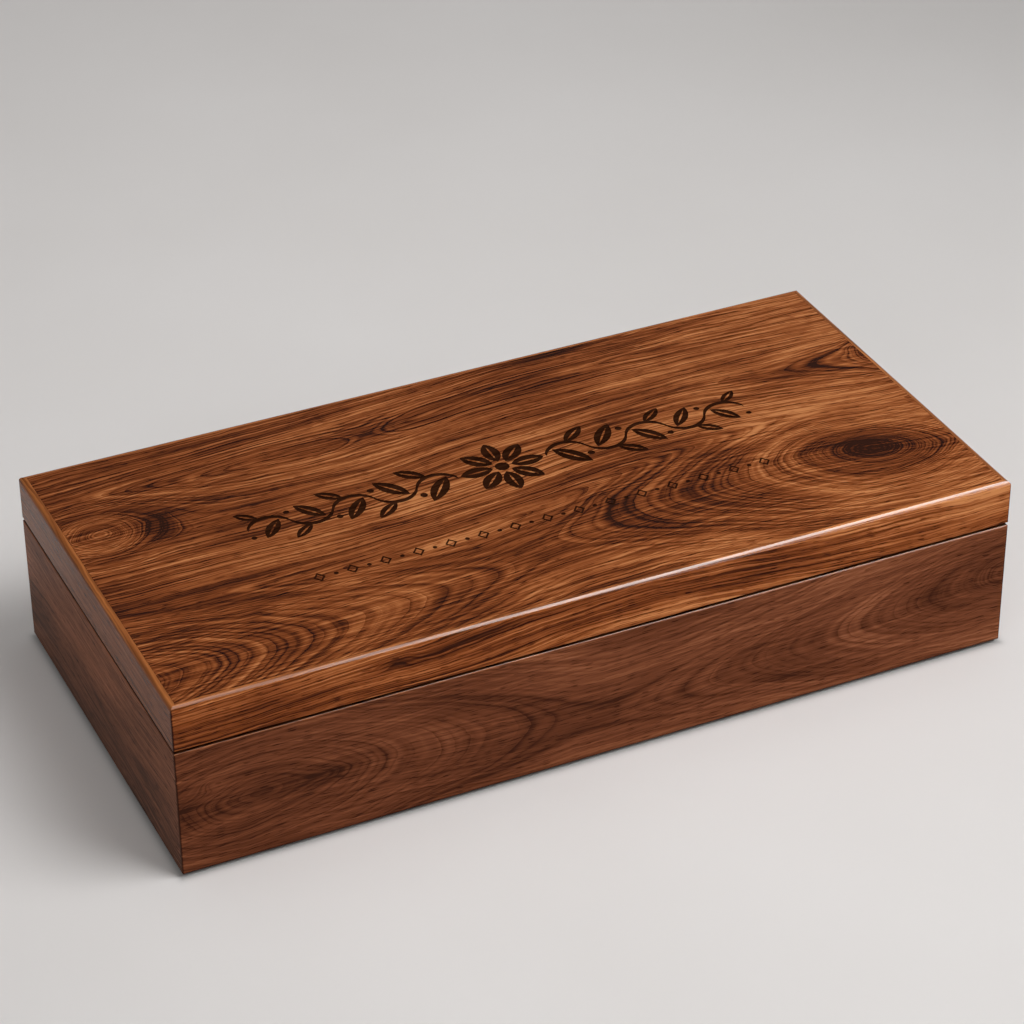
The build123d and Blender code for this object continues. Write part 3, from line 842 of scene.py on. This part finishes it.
def studio_floor():
    """Wide pale paper floor with a faint mottle, darker all round, and far off as pale as the room.

    The shade is painted, standing in for the lamps' light falling off: it falls as 1.036 less the
    square of the scaled distance from its brightest place, and not under 0.6. Close to the box a
    painted contact shadow takes it down once more, to 1 - 0.42 e^-((d / 1.5 mm)^1.4) with d the
    distance outside the walls.
    """
    count = 96
    turn = np.linspace(0, 2 * np.pi, count, endpoint=False)
    reach = np.array([400.0, 1500.0, 5000.0, 14000.0])[:, None]
    rows = np.stack([reach * np.cos(turn), reach * np.sin(turn), 0 * reach * turn], -1)
    points = np.concatenate([[[0.0, 0.0, 0.0]], rows.reshape(-1, 3)])
    faces = [(0, 1 + i, 1 + (i + 1) % count) for i in range(count)]
    faces += list(grid_faces(len(rows), count, closed=True)[:, ::-1] + 1)
    material, tree, shader = new_material("studio_paper")
    point = object_millimetres(tree)
    mottle = noise(tree, stretched(tree, point, (0.006, 0.006, 0.006)), detail=3.0)
    paper = grade(tree, mottle, [(0.3, (0.735, 0.712, 0.700)), (0.7, (0.765, 0.744, 0.735))])
    # Painted shade: the paper darkens away from this place, for the fall-off of the lamps' light.
    brightest, painted_light_falloff = (-63.0, 219.0, 0.0), (0.985e-3, 0.59e-3, 0.0)
    away = calc_vector(tree, "SUBTRACT", point, brightest)
    away = stretched(tree, away, painted_light_falloff)
    lightest, darkest = 1.036, 0.6
    shade = calc(tree, "SUBTRACT", lightest, measure(tree, "DOT_PRODUCT", away, away))
    shade = calc(tree, "MAXIMUM", shade, darkest)
    # Painted contact shadow: the paper darkens within a few millimetres of the walls.
    outside = calc_vector(tree, "MULTIPLY", calc_vector(tree, "ABSOLUTE", point), (1.0, 1.0, 0.0))
    outside = calc_vector(tree, "SUBTRACT", outside, (half_length_mm, half_depth_mm, 0.0))
    outside = calc_vector(tree, "MAXIMUM", outside, (0.0, 0.0, 0.0))
    contact_reach, contact_power, painted_contact_shadow = 1.5, 1.4, 0.42
    near = per(tree, measure(tree, "LENGTH", outside), contact_reach)
    near = dying_off(tree, calc(tree, "POWER", near, contact_power))
    near = calc(tree, "MULTIPLY_ADD", near, -painted_contact_shadow, 1.0)
    shade = calc(tree, "MULTIPLY", shade, near)
    painted_shade_colour = add_node(tree, "VectorMath", {0: paper, "Scale": shade}, operation="SCALE")
    set_inputs(tree, shader, {
        "Base Color": painted_shade_colour.outputs[0],
        "Roughness": 0.9,
        "Specular IOR Level": 0.1,
    })
    haze_from, haze_full = 800.0, 2000.0
    far_off = fade_between(
        tree, measure(tree, "LENGTH", point), haze_from, haze_full,
        at_start=0.0, at_end=1.0, interpolation_type="SMOOTHSTEP",
    )
    rays = add_node(tree, "LightPath").outputs
    seen = calc(tree, "MAXIMUM", rays["Is Camera Ray"], rays["Is Glossy Ray"])
    seen = calc(tree, "MAXIMUM", seen, rays["Is Transmission Ray"])
    far_off = calc(tree, "MULTIPLY", far_off, seen)
    haze = add_node(tree, "Emission", {0: (*horizon, 1.0)}).outputs[0]
    blend = add_node(tree, "MixShader", {0: far_off, 1: shader.outputs[0], 2: haze})
    tree.links.new(blend.outputs[0], tree.nodes["Material Output"].inputs["Surface"])
    return smooth_mesh("studio_floor", points, faces, material)


studio_floor()


def softbox(name, place, aim, size, power):
    """Rectangular lamp at place, facing aim."""
    lamp = bpy.data.lights.new(name, "AREA")
    lamp.shape = "RECTANGLE"
    lamp.size, lamp.size_y = size
    lamp.energy = power
    made = bpy.data.objects.new(name, lamp)
    bpy.context.scene.collection.objects.link(made)
    made.location = place
    made.rotation_euler = (Vector(aim) - Vector(place)).to_track_quat("-Z", "Y").to_euler()
    return made


box_middle = (0.0, 0.0, 0.03)
key = softbox("key_softbox", (0.60, -0.62, 1.20), box_middle, size=(0.9, 0.9), power=16.0)
key.visible_glossy = False

bank_y, bank_height, bank_length = -0.45, 1.2, 1.4
# Each bank's left and right edge, in metres, and its brightness.
gloss_banks = (
    (0.10, 0.24, 2.2),
    (0.24, 0.32, 4.2),
    (0.32, 0.40, 7.0),
    (0.40, 0.48, 10.0),
    (0.48, 0.60, 12.0),
    (0.60, 1.10, 13.0),
)
for count, (left_edge, right_edge, radiance) in enumerate(gloss_banks, 1):
    middle, width = (left_edge + right_edge) / 2, right_edge - left_edge
    place, aim = (middle, bank_y, bank_height), (middle, bank_y, 0.0)
    power = radiance * math.pi * width * bank_length
    bank = softbox(f"gloss_bank_{count}", place, aim, (width, bank_length), power)
    bank.visible_diffuse = False
low_place, front_edge = (0.98, -1.36, 0.62), (0.16, -0.08, 0.07)
bank = softbox("gloss_bank_front", low_place, front_edge, size=(0.7, 0.6), power=15.0)
bank.visible_diffuse = False
fill = softbox("front_fill", (-1.2, -1.6, 1.1), box_middle, size=(1.4, 1.0), power=9.0)
fill.visible_glossy = False

world = bpy.data.worlds.new("studio_room")
bpy.context.scene.world = world
world.use_nodes = True
room = world.node_tree
direction = add_node(room, "TexCoord").outputs["Generated"]
upwards = add_node(room, "SeparateXYZ", {0: direction}).outputs[2]
room_stops = [
    (0.0, horizon),
    (0.18, (0.30, 0.295, 0.29)),
    (0.40, (0.13, 0.128, 0.125)),
    (0.72, (0.13, 0.128, 0.125)),
    (0.92, (0.62, 0.61, 0.60)),
]
room.links.new(grade(room, upwards, room_stops), room.nodes["Background"].inputs["Color"])

# CAMERA
# It stands to the left of the front and looks down on the lid, with a long lens. Its place and
# turn are the ones that bring the box's corners to where the photo has them.

camera = bpy.data.objects.new("camera", bpy.data.cameras.new("camera"))
bpy.context.scene.collection.objects.link(camera)
bpy.context.scene.camera = camera
camera.data.sensor_width = 36.0
camera.data.lens = 120.02
camera.data.clip_start, camera.data.clip_end = 0.05, 40.0
azimuth, elevation, roll = math.radians(24.711), math.radians(32.792), math.radians(-0.538)
flat = math.cos(elevation)
forward = Vector((math.sin(azimuth) * flat, math.cos(azimuth) * flat, -math.sin(elevation)))
level = forward.cross(Vector((0, 0, 1))).normalized()
upright = level.cross(forward)
right = level * math.cos(roll) + upright * math.sin(roll)
above = upright * math.cos(roll) - level * math.sin(roll)
turn = Matrix((right, above, -forward)).transposed()
place = Matrix.Translation((-0.43389, -0.94144, 0.72373))
camera.matrix_world = place @ turn.to_4x4()

bpy.context.scene.view_settings.view_transform = "Standard"
